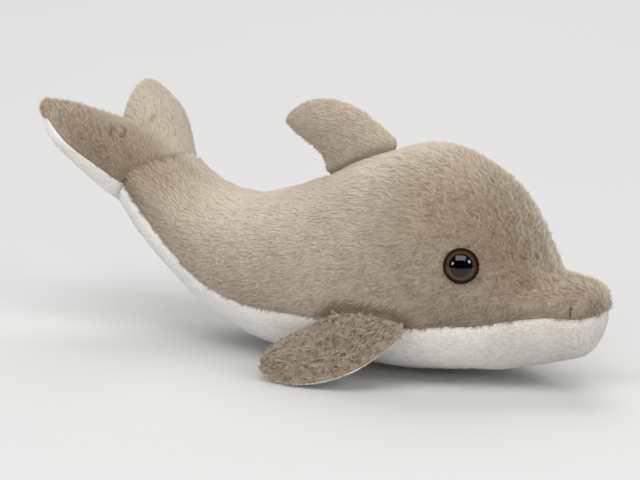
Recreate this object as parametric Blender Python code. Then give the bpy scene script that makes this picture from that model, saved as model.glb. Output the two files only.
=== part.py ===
"""Plush dolphin, about a quarter of a metre long, as its sewn and stuffed pieces.

Metres, +Z up, +X towards the beak, and Y = 0 is the plane of symmetry.
"""

import bisect
import math
from collections import namedtuple

import bmesh
import bpy
import numpy as np
from mathutils import Matrix, Vector

MM = 0.001

# Fabric and fits
FABRIC = 2.2 * MM
CLEARANCE = 0.3 * MM
PANEL_HALF_GAP = CLEARANCE / 2
STUFFING_HALF_GAP = 0.05 * MM
STUFFING_DEPTH = FABRIC + 2.5 * CLEARANCE
FIN_STUFFING_DEPTH = STUFFING_DEPTH + CLEARANCE

# Body sections from the tail stitch line to the beak tip, in mm: x and z of the spine at the
# widest level, rise to the back seam, drop to the belly, half-width, side seam below the spine.
# The shift puts the middle of the whole length at X = 0
STATIONS = (
    (-79, 59.5, 8.5, 18.5, 23, 2),
    (-68, 49, 12.5, 20.5, 23.5, 3),
    (-55, 40, 18, 22, 25.5, 5),
    (-38, 33, 24, 27.5, 30, 7),
    (-18, 30.5, 30.5, 31, 34, 9),
    (2, 30.5, 37.5, 31.2, 37, 9.5),
    (22, 31.5, 45.5, 32.2, 38.5, 11),
    (38, 31.5, 49.5, 32, 38, 11.5),
    (50, 31.5, 48, 30.5, 36.5, 10),
    (62, 31.5, 41.5, 29, 33, 8),
    (70.5, 31, 32.5, 28, 29, 7),
    (77, 30.5, 22, 26, 24.5, 5.5),
    (82, 30, 14.5, 23, 20, 4),
    (90, 29.5, 11, 20, 16.5, 2),
    (106.5, 29, 8.5, 15, 12, 1.5),
)
MIDDLE_SHIFT = 1.2 * MM
BEAK_ROUNDING = 9 * MM
BEAK_OPENING = 0.15
BODY_SPACING = 8 * MM

# Dorsal fin, its place measured along the spine from the tail stitch line, and its edges as
# curves of shares of its reach and height
DORSAL_FRONT = 112.5 * MM
DORSAL_LENGTH = 29 * MM
DORSAL_REACH = 41 * MM
DORSAL_HEIGHT = 24.5 * MM
DORSAL_THICKNESS = 11 * MM
DORSAL_FRONT_EDGE = ((0, 0), (0.1, 0.75), (0.62, 1.35), (1, 0.98))
DORSAL_REAR_EDGE = ((DORSAL_LENGTH / DORSAL_REACH, 0), (0.75, 0.35), (0.98, 0.6), (1.02, 0.9))

# Flippers, their edges as curves of shares of their reach and span
FLIPPER_FRONT = 136.5 * MM
FLIPPER_LENGTH = 32 * MM
FLIPPER_REACH = 50 * MM
FLIPPER_SPAN = 22.94 * MM
FLIPPER_THICKNESS = 9 * MM
FLIPPER_STANDOFF = 1.2 * MM
FLIPPER_SPLAY = 27
FLIPPER_ANGLE = -16
FLIPPER_FRONT_EDGE = ((0, 0), (0.1, 0.8), (0.76, 1.4), (1.04, 0.95))
FLIPPER_REAR_EDGE = ((FLIPPER_LENGTH / FLIPPER_REACH, 0), (0.75, 0.25), (1.02, 0.3), (1.06, 0.8))

# Flukes, measured from the tail stitch line, and the ends of their columns in mm
FLUKE_HALF_SPAN = 38.2 * MM
FLUKE_RISE = 7 * MM
FLUKE_DROP = 10 * MM
FLUKE_OUTLINE = ((0, 24), (0.35, 33), (0.7, 39), (0.9, 39), (1, 33.5))
FLUKE_WIDENING = ((0, 0), (0.3, 0.5), (0.65, 0.95), (1, 1))

# Safety eyes and their lock washers
EYE_ALONG = 153.3 * MM
EYE_ANGLE = 22
EYE_DIAMETER = 12 * MM
EYE_DOME = 4.2 * MM
EYE_RIM = 0.8 * MM
EYE_SINK = 1.4 * MM
SHANK_DIAMETER = 4 * MM
SHANK_LENGTH = 9 * MM
WASHER_DIAMETER = 13 * MM
WASHER_THICKNESS = 1.4 * MM
WASHER_SINK = 1.6 * MM

SECTIONS = np.array(STATIONS, float) * MM + (MIDDLE_SHIFT, 0, 0, 0, 0, 0)
KNOTS = np.insert(np.cumsum(np.hypot(*np.diff(SECTIONS[:, :2], axis=0).T)), 0, 0.0)
SLOPES = np.gradient(SECTIONS, KNOTS, axis=0)
BODY_LENGTH = KNOTS[-1]

Fin = namedtuple("Fin", "foot front rear outward half_thickness span")


def smooth_between(knots, values, slopes, at):
    """The value at a place on the smooth curve through the values."""
    i = min(max(bisect.bisect_right(list(knots), at) - 1, 0), len(knots) - 2)
    span = knots[i + 1] - knots[i]
    t = (at - knots[i]) / span
    return (
        values[i] * (1 + 2 * t) * (1 - t) ** 2
        + values[i + 1] * t * t * (3 - 2 * t)
        + slopes[i] * span * t * (1 - t) ** 2
        + slopes[i + 1] * span * t * t * (t - 1)
    )


def station_at(along):
    return smooth_between(KNOTS, SECTIONS, SLOPES, along)


def spine_direction(along):
    step = station_at(along + MM)[:2] - station_at(along - MM)[:2]
    return step / np.hypot(*step)


def closing_at(along):
    """The share of the full section that is left where the beak rounds off."""
    past = max((along - BODY_LENGTH) / BEAK_ROUNDING + 1, 0)
    return math.sqrt(max(1 - past * past, 0))


def body_point(along, angle):
    """A point of the outer surface. Angle 0 is the right side's widest level, 90 the back seam."""
    x, z, rise, drop, half_width, _ = station_at(along)
    up = math.sin(math.radians(angle))
    height = closing_at(along) * (rise if up > 0 else drop) * up
    tangent_x, tangent_z = spine_direction(along)
    side = -closing_at(along) * half_width * math.cos(math.radians(angle))
    return np.array((x - tangent_z * height, side, z + tangent_x * height))


def body_normal(along, angle):
    forward = body_point(along + 0.2 * MM, angle) - body_point(along - 0.2 * MM, angle)
    around = body_point(along, angle + 1) - body_point(along, angle - 1)
    normal = np.cross(forward, around)
    return normal / np.linalg.norm(normal)


def body_surface(along, angle, depth=0.0):
    """A point at a depth under the outer surface, or on the flat that the belly rests on."""
    point = body_point(along, angle) - body_normal(along, angle) * depth
    point[2] = max(point[2], depth, 0.0)
    return point


def seam_angle(along):
    _, _, _, drop, _, seam = station_at(along)
    return -math.degrees(math.asin(seam / drop))


def gap_angle(along):
    """The angle that half the gap between two panels takes up on the section."""
    half_width = closing_at(along) * station_at(along)[4]
    return math.degrees(0.7 * CLEARANCE / half_width)


def body_rows(start):
    """Distances along the spine of the rows of points, closer together round the beak."""
    straight = BODY_LENGTH - BEAK_ROUNDING
    rows = list(np.linspace(start, straight, round(straight / BODY_SPACING)))
    last = math.acos(BEAK_OPENING)
    return rows + [straight + BEAK_ROUNDING * math.sin(last * i / 4) for i in range(1, 5)]


def bezier(points, t):
    while len(points) > 1:
        points = [a * (1 - t) + b * t for a, b in zip(points, points[1:])]
    return points[0]


def material(name, colour, roughness):
    found = bpy.data.materials.new(name)
    found.use_nodes = True
    shader = found.node_tree.nodes["Principled BSDF"]
    shader.inputs["Base Color"].default_value = (*colour, 1.0)
    shader.inputs["Roughness"].default_value = roughness
    shader.inputs["Metallic"].default_value = 0.0
    found.diffuse_color = (*colour, 1.0)
    return found


def add_object(name, shape, finish):
    bmesh.ops.recalc_face_normals(shape, faces=shape.faces)
    mesh = bpy.data.meshes.new(name)
    shape.to_mesh(mesh)
    shape.free()
    mesh.shade_smooth()
    mesh.materials.append(finish)
    thing = bpy.data.objects.new(name, mesh)
    bpy.context.scene.collection.objects.link(thing)
    return thing


def add_sheet(shape, columns, rows, place):
    """A grid of quads, its points put where place(across, lengthways) says, both from 0 to 1."""
    made = bmesh.ops.create_grid(
        shape, x_segments=columns - 1, y_segments=rows - 1, size=0.5
    )["verts"]
    for vertex in made:
        vertex.co = place(round(vertex.co.x + 0.5, 6), round(vertex.co.y + 0.5, 6))


def closed_slab(name, columns, rows, one_side, other_side, finish):
    """The solid between two sheets, its rims bridged."""
    shape = bmesh.new()
    add_sheet(shape, columns, rows, one_side)
    add_sheet(shape, columns, rows, other_side)
    rims = [edge for edge in shape.edges if edge.is_boundary]
    bmesh.ops.bridge_loops(shape, edges=rims)
    return add_object(name, shape, finish)


def mirrored(place, side):
    """The same sheet, on the right side for 1 and on the left for -1."""
    return lambda across, lengthways: place(across, lengthways) * (1, side, 1)


# Body panels and stuffing
def back_sheet(depth):
    rows = body_rows(PANEL_HALF_GAP)

    def place(across, lengthways):
        along = rows[round(lengthways * (len(rows) - 1))]
        low = seam_angle(along) + gap_angle(along)
        high = 90 - gap_angle(along)
        return body_surface(along, low + (high - low) * across, depth)

    return place


def belly_sheet(depth):
    rows = body_rows(PANEL_HALF_GAP)

    def place(across, lengthways):
        along = rows[round(lengthways * (len(rows) - 1))]
        reach = seam_angle(along) - gap_angle(along) + 90
        return body_surface(along, -90 + reach * (2 * across - 1), depth)

    return place


def add_body(taupe, white, filling):
    count = len(body_rows(0))
    for name, side in (("back_panel_right", 1), ("back_panel_left", -1)):
        outer, inner = (mirrored(back_sheet(depth), side) for depth in (0.0, FABRIC))
        closed_slab(name, 10, count, outer, inner, taupe)
    closed_slab("belly_panel", 15, count, belly_sheet(0.0), belly_sheet(FABRIC), white)
    rows = body_rows(STUFFING_DEPTH)[:-1]

    def place(across, lengthways):
        along = rows[round(lengthways * (len(rows) - 1))]
        return body_surface(along, 360 * across, STUFFING_DEPTH)

    shape = bmesh.new()
    add_sheet(shape, 29, len(rows), place)
    bmesh.ops.remove_doubles(shape, verts=shape.verts, dist=0.01 * MM)
    bmesh.ops.holes_fill(shape, edges=shape.edges, sides=0)
    return add_object("body_stuffing", shape, filling)


# Fins
def fin_point(fin, lengthways, angle, depth, half_gap):
    """A point of a fin: angle 0 is its front edge, 90 its outer side and 180 its rear edge."""
    t = lengthways * (1 - depth / fin.span)
    front, rear = fin.front(t), fin.rear(t)
    chord = np.linalg.norm(front - rear) / 2
    reach = max(chord - depth, 0.2 * MM) / chord * math.cos(math.radians(angle))
    half_thickness = max(fin.half_thickness(t) - depth, 2 * half_gap)
    thick = half_thickness * math.sin(math.radians(angle))
    free = (front + rear) / 2 + (front - rear) / 2 * reach + fin.outward * thick
    blend = min(t / 0.35, 1.0)
    blend = blend * blend * (3 - 2 * blend)
    return fin.foot(angle, depth) * (1 - blend) + free * blend


def fin_sheet(fin, outer, depth, half_gap):
    """One side of a fin: outer is 1 for the outer side and -1 for the inner one."""

    def place(across, lengthways):
        point = fin_point(fin, lengthways, 180 * across * outer, depth, half_gap)
        return point + fin.outward * outer * half_gap

    return place


def add_fin(names, fin, side, outer_finish, inner_finish, filling):
    columns, rows = 9, 8
    for name, outer, finish in ((names[0], 1, outer_finish), (names[1], -1, inner_finish)):
        sheets = [fin_sheet(fin, outer, depth, PANEL_HALF_GAP) for depth in (0.0, FABRIC)]
        faces = (mirrored(sheet, side) for sheet in sheets)
        closed_slab(name, columns, rows, *faces, finish)
    sheets = [fin_sheet(fin, outer, FIN_STUFFING_DEPTH, STUFFING_HALF_GAP) for outer in (1, -1)]
    faces = (mirrored(sheet, side) for sheet in sheets)
    closed_slab(names[2], columns, rows, *faces, filling)


def dorsal_fin():
    middle = DORSAL_FRONT - DORSAL_LENGTH / 2
    base_front = body_surface(DORSAL_FRONT, 90)
    base_rear = body_surface(DORSAL_FRONT - DORSAL_LENGTH, 90)
    back = (base_rear - base_front) / np.linalg.norm(base_rear - base_front)
    up = np.array((back[2], 0.0, -back[0]))

    def foot(angle, depth):
        across = (DORSAL_THICKNESS / 2 - depth) * math.sin(math.radians(angle))
        along = middle + (DORSAL_LENGTH / 2 - depth) * math.cos(math.radians(angle))
        tilt = math.degrees(math.asin(across / station_at(along)[4]))
        return body_surface(along, 90 - tilt, -CLEARANCE - depth / 4)

    reach, height = DORSAL_REACH, DORSAL_HEIGHT

    def edge(points):
        ends = [base_front + back * a * reach + up * b * height for a, b in points]
        return lambda t: bezier(ends, t)

    return Fin(
        foot,
        edge(DORSAL_FRONT_EDGE),
        edge(DORSAL_REAR_EDGE),
        np.array((0.0, -1.0, 0.0)),
        lambda t: DORSAL_THICKNESS / 2 * (1 - 0.3 * t) * math.sqrt(1 - t**6),
        height,
    )


def flipper():
    middle = FLIPPER_FRONT - FLIPPER_LENGTH / 2
    base_front = body_surface(FLIPPER_FRONT, FLIPPER_ANGLE, -FLIPPER_STANDOFF)
    splay = math.radians(FLIPPER_SPLAY)
    back = np.array((-1.0, 0.0, 0.0))
    down = np.array((0.0, -math.sin(splay), -math.cos(splay)))

    def foot(angle, depth):
        along = middle + (FLIPPER_LENGTH / 2 - depth) * math.cos(math.radians(angle))
        up = (FLIPPER_THICKNESS / 2 - depth) * math.sin(math.radians(angle))
        tilt = math.degrees(up / station_at(along)[3])
        return body_surface(along, FLIPPER_ANGLE + tilt, -CLEARANCE - depth / 4)

    reach, span = FLIPPER_REACH, FLIPPER_SPAN

    def edge(points):
        ends = [base_front + back * a * reach + down * b * span for a, b in points]
        return lambda t: bezier(ends, t)

    return Fin(
        foot,
        edge(FLIPPER_FRONT_EDGE),
        edge(FLIPPER_REAR_EDGE),
        np.cross(back, down),
        lambda t: FLIPPER_THICKNESS / 2 * (1 - 0.2 * t) * math.sqrt(1 - t**6),
        reach,
    )


# Flukes
def fluke_sheet(upper, depth, half_gap):
    """The flukes' upper side for 1 and underside for -1, in the tail's own directions."""
    forward, lift = spine_direction(0)
    origin = station_at(0)
    outward = np.array((-forward, 0.0, -lift))
    up = np.array((-lift, 0.0, forward))
    shares, ends = np.array(FLUKE_OUTLINE, float).T
    slopes = np.gradient(ends, shares)
    reached, widths = np.array(FLUKE_WIDENING, float).T
    widening = np.gradient(widths, reached)
    root, lobe = (origin[2], FLUKE_RISE) if upper > 0 else (origin[3], FLUKE_DROP)

    def place(across, lengthways):
        share = 2 * across - 1
        end = MM * smooth_between(shares, ends, slopes, abs(share))
        out = PANEL_HALF_GAP + depth * 0.5 + (end - 1.5 * depth) * lengthways
        t = lengthways
        wide = smooth_between(reached, widths, widening, t)
        half_width = origin[4] + (FLUKE_HALF_SPAN - origin[4]) * wide - depth
        blend = (1 - t) ** 3
        full = root * blend + lobe * (1 - blend)
        height = max(full * math.sqrt(1 - t**4) - depth, 2 * half_gap)
        height = half_gap + height * math.sqrt(1 - abs(share) ** (2 + 1.5 * t))
        middle = np.array((origin[0], -share * half_width, origin[1]))
        rim = -origin[5] * (1 - t) ** 2 * share * share
        return middle + outward * out + up * (upper * height + rim)

    return place


def add_flukes(taupe, white, filling):
    columns, rows = 17, 8
    for name, upper, finish in (("fluke_top", 1, taupe), ("fluke_underside", -1, white)):
        sheets = (fluke_sheet(upper, depth, PANEL_HALF_GAP) for depth in (0.0, FABRIC))
        closed_slab(name, columns, rows, *sheets, finish)
    sheets = (fluke_sheet(upper, FIN_STUFFING_DEPTH, STUFFING_HALF_GAP) for upper in (1, -1))
    closed_slab("fluke_stuffing", columns, rows, *sheets, filling)


# Safety eyes
def turned(name, profile, finish):
    """A solid turned about +Z from (radius, height) points, the first and last on the axis."""
    shape = bmesh.new()
    points = [shape.verts.new((radius, 0.0, height)) for radius, height in profile]
    edges = [shape.edges.new(pair) for pair in zip(points, points[1:])]
    bmesh.ops.spin(
        shape, geom=points + edges, cent=(0, 0, 0), axis=(0, 0, 1), angle=math.tau, steps=32
    )
    bmesh.ops.remove_doubles(shape, verts=shape.verts, dist=0.01 * MM)
    return add_object(name, shape, finish)


def dome(radius, height, base):
    """Points of a round cap's profile, from its pole to its rim."""
    ball = (radius * radius + height * height) / (2 * height)
    widest = math.asin(radius / ball)
    angles = [widest * i / 8 for i in range(9)]
    return [(ball * math.sin(a), base + height - ball * (1 - math.cos(a))) for a in angles]


def cut(thing, cutter):
    modifier = thing.modifiers.new(cutter.name, "BOOLEAN")
    modifier.operation = "DIFFERENCE"
    modifier.solver = "EXACT"
    modifier.object = cutter


def guide(thing):
    thing.hide_render = True
    thing.display_type = "WIRE"
    return thing


def add_eye(side, panel, stuffing, plastic, washer_plastic):
    word = "right" if side > 0 else "left"
    radius, shank = EYE_DIAMETER / 2, SHANK_DIAMETER / 2
    washer_radius = WASHER_DIAMETER / 2
    washer_top = EYE_SINK - FABRIC - CLEARANCE - WASHER_SINK
    washer_bottom = washer_top - WASHER_THICKNESS
    foot = -SHANK_LENGTH
    eye = turned(
        "eye_" + word,
        dome(radius, EYE_DOME - EYE_RIM, EYE_RIM)
        + [(radius, 0), (shank, 0), (shank, foot), (0, foot)],
        plastic,
    )
    hole = shank + CLEARANCE
    washer = turned(
        "eye_washer_" + word,
        [
            (hole, washer_top),
            (washer_radius, washer_top),
            (washer_radius, washer_bottom),
            (hole, washer_bottom),
            (hole, washer_top),
        ],
        washer_plastic,
    )
    seat = radius + CLEARANCE
    panel_cutter = guide(turned(
        "eye_seat_" + word,
        [
            (0, EYE_DOME),
            (seat, EYE_DOME),
            (seat, -CLEARANCE),
            (hole, -CLEARANCE),
            (hole, foot),
            (0, foot),
        ],
        plastic,
    ))
    pocket = washer_radius + CLEARANCE
    low, end = washer_bottom - CLEARANCE, foot - CLEARANCE
    stuffing_cutter = guide(turned(
        "eye_pocket_" + word,
        [
            (0, EYE_DOME),
            (pocket, EYE_DOME),
            (pocket, low),
            (hole, low),
            (hole, end),
            (0, end),
        ],
        plastic,
    ))
    cut(panel, panel_cutter)
    cut(stuffing, stuffing_cutter)
    normal = Vector(body_normal(EYE_ALONG, EYE_ANGLE) * (1, side, 1))
    place = Vector(body_surface(EYE_ALONG, EYE_ANGLE, EYE_SINK) * (1, side, 1))
    turn = normal.to_track_quat("Z", "Y").to_matrix().to_4x4()
    for thing in (eye, washer, panel_cutter, stuffing_cutter):
        thing.matrix_world = Matrix.Translation(place) @ turn


def main():
    for thing in list(bpy.data.objects):
        bpy.data.objects.remove(thing)
    taupe = material("taupe_plush", (0.40, 0.34, 0.28), 0.9)
    white = material("white_plush", (0.82, 0.82, 0.80), 0.9)
    filling = material("fibre_stuffing", (0.9, 0.9, 0.88), 1.0)
    brown = material("brown_eye_plastic", (0.05, 0.025, 0.012), 0.08)
    washer_white = material("washer_plastic", (0.85, 0.85, 0.83), 0.4)
    stuffing = add_body(taupe, white, filling)
    names = ("dorsal_fin_right", "dorsal_fin_left", "dorsal_fin_stuffing")
    add_fin(names, dorsal_fin(), 1, taupe, taupe, filling)
    for word, side in (("right", 1), ("left", -1)):
        names = [f"flipper_{word}_{piece}" for piece in ("top", "underside", "stuffing")]
        add_fin(names, flipper(), side, taupe, white, filling)
        panel = bpy.data.objects["back_panel_" + word]
        add_eye(side, panel, stuffing, brown, washer_white)
    add_flukes(taupe, white, filling)


main()
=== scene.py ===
"""Plush dolphin: its skins, pile, eyes and filling, and the stage it is shown on.

Metres, +Z up, +X towards the beak, and Y = 0 is the plane of symmetry.
"""

import functools
import math
from collections import namedtuple

import bmesh
import bpy
import numpy as np
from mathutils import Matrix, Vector, kdtree


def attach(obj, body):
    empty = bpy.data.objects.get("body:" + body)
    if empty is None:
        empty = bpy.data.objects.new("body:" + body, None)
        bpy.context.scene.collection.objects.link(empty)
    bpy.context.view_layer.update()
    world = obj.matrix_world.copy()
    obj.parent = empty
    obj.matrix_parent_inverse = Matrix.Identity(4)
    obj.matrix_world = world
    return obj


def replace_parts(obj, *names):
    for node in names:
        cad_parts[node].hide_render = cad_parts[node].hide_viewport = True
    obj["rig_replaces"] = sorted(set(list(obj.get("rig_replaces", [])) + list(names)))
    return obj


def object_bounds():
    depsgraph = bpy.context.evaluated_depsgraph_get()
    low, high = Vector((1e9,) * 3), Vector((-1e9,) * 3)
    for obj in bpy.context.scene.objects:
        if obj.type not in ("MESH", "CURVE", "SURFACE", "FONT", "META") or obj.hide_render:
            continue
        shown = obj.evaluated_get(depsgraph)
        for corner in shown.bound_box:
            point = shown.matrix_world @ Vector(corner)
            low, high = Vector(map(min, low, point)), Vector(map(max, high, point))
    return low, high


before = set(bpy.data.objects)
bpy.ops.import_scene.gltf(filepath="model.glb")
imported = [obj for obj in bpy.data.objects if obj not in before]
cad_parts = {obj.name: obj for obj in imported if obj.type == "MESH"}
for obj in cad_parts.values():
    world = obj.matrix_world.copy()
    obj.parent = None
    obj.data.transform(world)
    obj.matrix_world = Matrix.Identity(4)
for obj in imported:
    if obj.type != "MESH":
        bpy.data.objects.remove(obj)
CAD_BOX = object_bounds()

bl_info = {
    "name": "Plush Dolphin",
    "version": (1, 0, 0),
    "blender": (4, 5, 0),
    "location": "3D View > Sidebar > Dolphin",
    "description": "Sewn skins, pile and eyes of a plush dolphin, and its stage",
    "category": "Object",
}

MM = 0.001

# Body sections from the tail stitch line to the beak tip, in mm: x and z of the spine at the
# widest level, rise to the back seam, drop to the belly, half-width, side seam below the spine.
# The shift puts the middle of the whole length at X = 0. The drops of the first three sections
# and of the three at the chin follow the photograph, up to 1.4 mm off the solids
STATIONS = (
    (-79, 59.5, 8.5, 19.8, 23, 2),
    (-68, 49, 12.5, 21.8, 23.5, 3),
    (-55, 40, 18, 23.2, 25.5, 5),
    (-38, 33, 24, 27.5, 30, 7),
    (-18, 30.5, 30.5, 31, 34, 9),
    (2, 30.5, 37.5, 31.2, 37, 9.5),
    (22, 31.5, 45.5, 32.2, 38.5, 11),
    (38, 31.5, 49.5, 32, 38, 11.5),
    (50, 31.5, 48, 30.5, 36.5, 10),
    (62, 31.5, 41.5, 29, 33, 8),
    (70.5, 31, 32.5, 28, 29, 7),
    (77, 30.5, 22, 26.2, 24.5, 5.5),
    (82, 30, 14.5, 24.2, 20, 4),
    (90, 29.5, 11, 21.2, 16.5, 2),
    (106.5, 29, 8.5, 15, 12, 1.5),
)
MIDDLE_SHIFT = 1.2 * MM
BEAK_ROUNDING = 9 * MM
BEAK_OPENING = 0.05

# Dorsal fin, its edges as curves of shares of its reach and height
DORSAL_FRONT = 112.5 * MM
DORSAL_LENGTH = 29 * MM
DORSAL_REACH = 41 * MM
DORSAL_HEIGHT = 24.5 * MM
DORSAL_THICKNESS = 11 * MM
DORSAL_FRONT_EDGE = ((0, 0), (0.1, 0.75), (0.62, 1.35), (1, 0.98))
DORSAL_REAR_EDGE = ((DORSAL_LENGTH / DORSAL_REACH, 0), (0.75, 0.35), (0.98, 0.6), (1.02, 0.9))

# Flippers, their edges as curves of shares of their reach and span
FLIPPER_FRONT = 136.5 * MM
FLIPPER_LENGTH = 32 * MM
FLIPPER_REACH = 50 * MM
FLIPPER_SPAN = 22.94 * MM
FLIPPER_THICKNESS = 9 * MM
FLIPPER_STANDOFF = 1.2 * MM
FLIPPER_SPLAY = 27
FLIPPER_ANGLE = -16
FLIPPER_FRONT_EDGE = ((0, 0), (0.1, 0.8), (0.76, 1.4), (1.04, 0.95))
FLIPPER_REAR_EDGE = ((FLIPPER_LENGTH / FLIPPER_REACH, 0), (0.75, 0.25), (1.02, 0.3), (1.06, 0.8))

# Flukes, measured from the tail stitch line. The outline gives how far they reach, in mm, at
# shares of the half-span. Their underside is 5 mm deeper than the solids' and they reach 1.3 mm
# further: the deeper skin shows as the white strip under the near one
FLUKE_HALF_SPAN = 38.2 * MM
FLUKE_RISE = 7 * MM
FLUKE_DROP = 15 * MM
FLUKE_OUTLINE = ((0, 24), (0.35, 33.5), (0.7, 40.3), (0.9, 40.3), (1, 34))
FLUKE_WIDENING = ((0, 0), (0.3, 0.5), (0.65, 0.95), (1, 1))

# Safety eyes
EYE_ALONG = 153.3 * MM
EYE_ANGLE = 22
EYE_SINK = 1.4 * MM
EYE_RADIUS = 6 * MM
EYE_DOME = 4.2 * MM
EYE_RIM = 0.8 * MM
DOME_RINGS = 16
EYE_STEPS = 64
# The left eye is pulled in deeper, so that its dome doesn't show over the head's outline
LEFT_EYE_DEEPER = 0.8 * MM
SHANK_RADIUS = 2 * MM
SHANK_LENGTH = 9 * MM

SECTIONS = np.array(STATIONS, float) * MM + (MIDDLE_SHIFT, 0, 0, 0, 0, 0)
KNOTS = np.insert(np.cumsum(np.hypot(*np.diff(SECTIONS[:, :2], axis=0).T)), 0, 0.0)
SLOPES = np.gradient(SECTIONS, KNOTS, axis=0)
BODY_LENGTH = KNOTS[-1]

# How deep the feet of the fins are sewn in, and how far their sides stand off the body
FOOT_SINK = 2.7 * MM
CLEARANCE = 0.3 * MM

# How softly the flat under the belly begins
FLAT_EDGE = 0.8 * MM

# Beside the beak's tip, a dart in each side
DART_ALONG = BODY_LENGTH - 8 * MM
DART_ANGLES = (-6.0, 32.0)

# How deep a tuft is rooted, and how near the floor its tip and its sides may come
TUFT_ROOT = 0.25 * MM
LOWEST_TIP = 0.15 * MM
LOWEST_SIDE = 0.05 * MM

# A pile has no more tufts than this, so that it stays under 200,000 triangles
MOST_TUFTS = 49_900

# Each side of the dolphin is the other's mirror image
MIRROR = np.array((1.0, -1.0, 1.0))

# A fin's foot on the body, its edges, the way out of its side, its thickness and its span
Fin = namedtuple("Fin", "foot front rear outward half_thickness span")

# A grid of points with its normals, its nap and how far that is turned from the rows' way, then
# its level of painted light and shade, its painted backlight glow, how deep its furrows are and
# how much shorter its pile is at the rim
Sheet = namedtuple("Sheet", "places normals nap turn shade warm furrow trim")

# Tufts: length and width, number to a mm2, lean as an angle, number to a lock, how far the nap
# wanders, how dark painted shade makes the furrows between locks, and the margin left bare at the
# far edges
Pile = namedtuple("Pile", "length width density lean clump wander furrow margin", defaults=(0.0,))


def linear(code):
    """An sRGB hex colour as linear RGB."""
    channels = (int(code[i : i + 2], 16) / 255 for i in (1, 3, 5))
    return tuple(c / 12.92 if c <= 0.04045 else ((c + 0.055) / 1.055) ** 2.4 for c in channels)


# Settings
def length_property(name, description, default):
    """A size that a user may change, in metres."""
    return bpy.props.FloatProperty(
        name=name, description=description, default=default, unit="LENGTH", precision=5
    )


def colour_property(name, description, code):
    """A colour that a user may change, from its sRGB hex code."""
    return bpy.props.FloatVectorProperty(
        name=name, description=description, default=linear(code), subtype="COLOR", min=0, max=1
    )


class SkinSettings(bpy.types.PropertyGroup):
    backing: length_property("Backing", "Thickness of the knitted backing", 0.8 * MM)
    pile_rise: length_property("Pile rise", "Height of the leaning pile on its backing", 0.9 * MM)
    slack: length_property("Slack", "How far a skin starts inside its filled shape", 0.6 * MM)
    seam_dip: length_property("Seam dip", "Depth of the valley along a seam", 0.5 * MM)
    seam_reach: length_property("Seam reach", "Half-width of the valley along a seam", 1.6 * MM)
    puff: length_property("Puff", "The furthest that the filling pushes a skin out", 0.8 * MM)
    pressure: bpy.props.FloatProperty(
        name="Filling pressure", description="Cloth pressure of the filling", default=4.0
    )
    frames: bpy.props.IntProperty(
        name="Frames", description="Simulated frames of each skin", default=16, min=1
    )


class PileSettings(bpy.types.PropertyGroup):
    taupe_root: colour_property("Taupe roots", "Taupe pile at its roots", "#A09080")
    taupe_tip: colour_property("Taupe tips", "Taupe pile at its tips", "#E0D3C2")
    taupe_backlit: colour_property("Taupe warm", "Taupe pile where light shows through", "#CDB49B")
    white_root: colour_property("White roots", "White pile at its roots", "#EAE8E3")
    white_tip: colour_property("White tips", "White pile at its tips", "#F7F5F0")


class EyeSettings(bpy.types.PropertyGroup):
    pupil: colour_property("Pupil", "Black middle of the eye", "#060505")
    iris: colour_property("Iris", "Brown ring round the pupil", "#42342B")
    rim: colour_property("Rim", "Dark edge of the eye", "#241305")


class StageSettings(bpy.types.PropertyGroup):
    azimuth: bpy.props.FloatProperty(
        name="Azimuth", description="Camera's turn about the object", default=math.radians(33),
        subtype="ANGLE",
    )
    elevation: bpy.props.FloatProperty(
        name="Elevation", description="Camera's height as an angle", default=math.radians(12),
        subtype="ANGLE",
    )
    distance: length_property("Distance", "From the camera to the point it looks at", 0.8)
    lens: bpy.props.FloatProperty(
        name="Lens", description="Focal length on a 36 mm sensor, in mm", default=125
    )
    floor: colour_property("Floor", "Pale studio floor", "#CFCFCE")


# Curves and the body's surface
def smooth_between(knots, values, slopes, at):
    """Values at places on the smooth curve through the values."""
    i = np.clip(np.searchsorted(knots, at, side="right") - 1, 0, len(knots) - 2)
    span = knots[i + 1] - knots[i]
    t = (at - knots[i]) / span
    if values.ndim > 1:
        t, span = t[..., None], span[..., None]
    return (
        values[i] * (1 + 2 * t) * (1 - t) ** 2
        + values[i + 1] * t * t * (3 - 2 * t)
        + slopes[i] * span * t * (1 - t) ** 2
        + slopes[i + 1] * span * t * t * (t - 1)
    )


def unit(vectors):
    """The vectors at length 1."""
    return vectors / np.maximum(np.linalg.norm(vectors, axis=-1, keepdims=True), 1e-12)


def station_at(along):
    """The body's section that far along its spine, as a row of STATIONS in metres."""
    return smooth_between(KNOTS, SECTIONS, SLOPES, np.asarray(along, float))


def spine_direction(along):
    """The way towards the beak, as x and z."""
    return unit(station_at(along + MM)[..., :2] - station_at(along - MM)[..., :2])


def closing_at(along):
    """The share of the full section that is left where the beak rounds off."""
    past = np.maximum((along - BODY_LENGTH) / BEAK_ROUNDING + 1, 0)
    return np.maximum(1 - past**2.4, 0) ** 0.45


def body_point(along, angle):
    """Points of the outer surface. Angle 0 is the right side's widest level, 90 the back seam."""
    along, angle = np.broadcast_arrays(np.asarray(along, float), np.asarray(angle, float))
    station = station_at(along)
    turn = np.radians(angle)
    up = np.sin(turn)
    height = closing_at(along) * np.where(up > 0, station[..., 2], station[..., 3]) * up
    side = -closing_at(along) * station[..., 4] * np.cos(turn)
    tangent = spine_direction(along)
    x = station[..., 0] - tangent[..., 1] * height
    z = station[..., 1] + tangent[..., 0] * height
    return np.stack((x, side, z), axis=-1)


def body_normal(along, angle):
    """The way out of the body."""
    forward = body_point(along + 0.2 * MM, angle) - body_point(along - 0.2 * MM, angle)
    around = body_point(along, angle + 1.0) - body_point(along, angle - 1.0)
    return unit(np.cross(forward, around))


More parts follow.
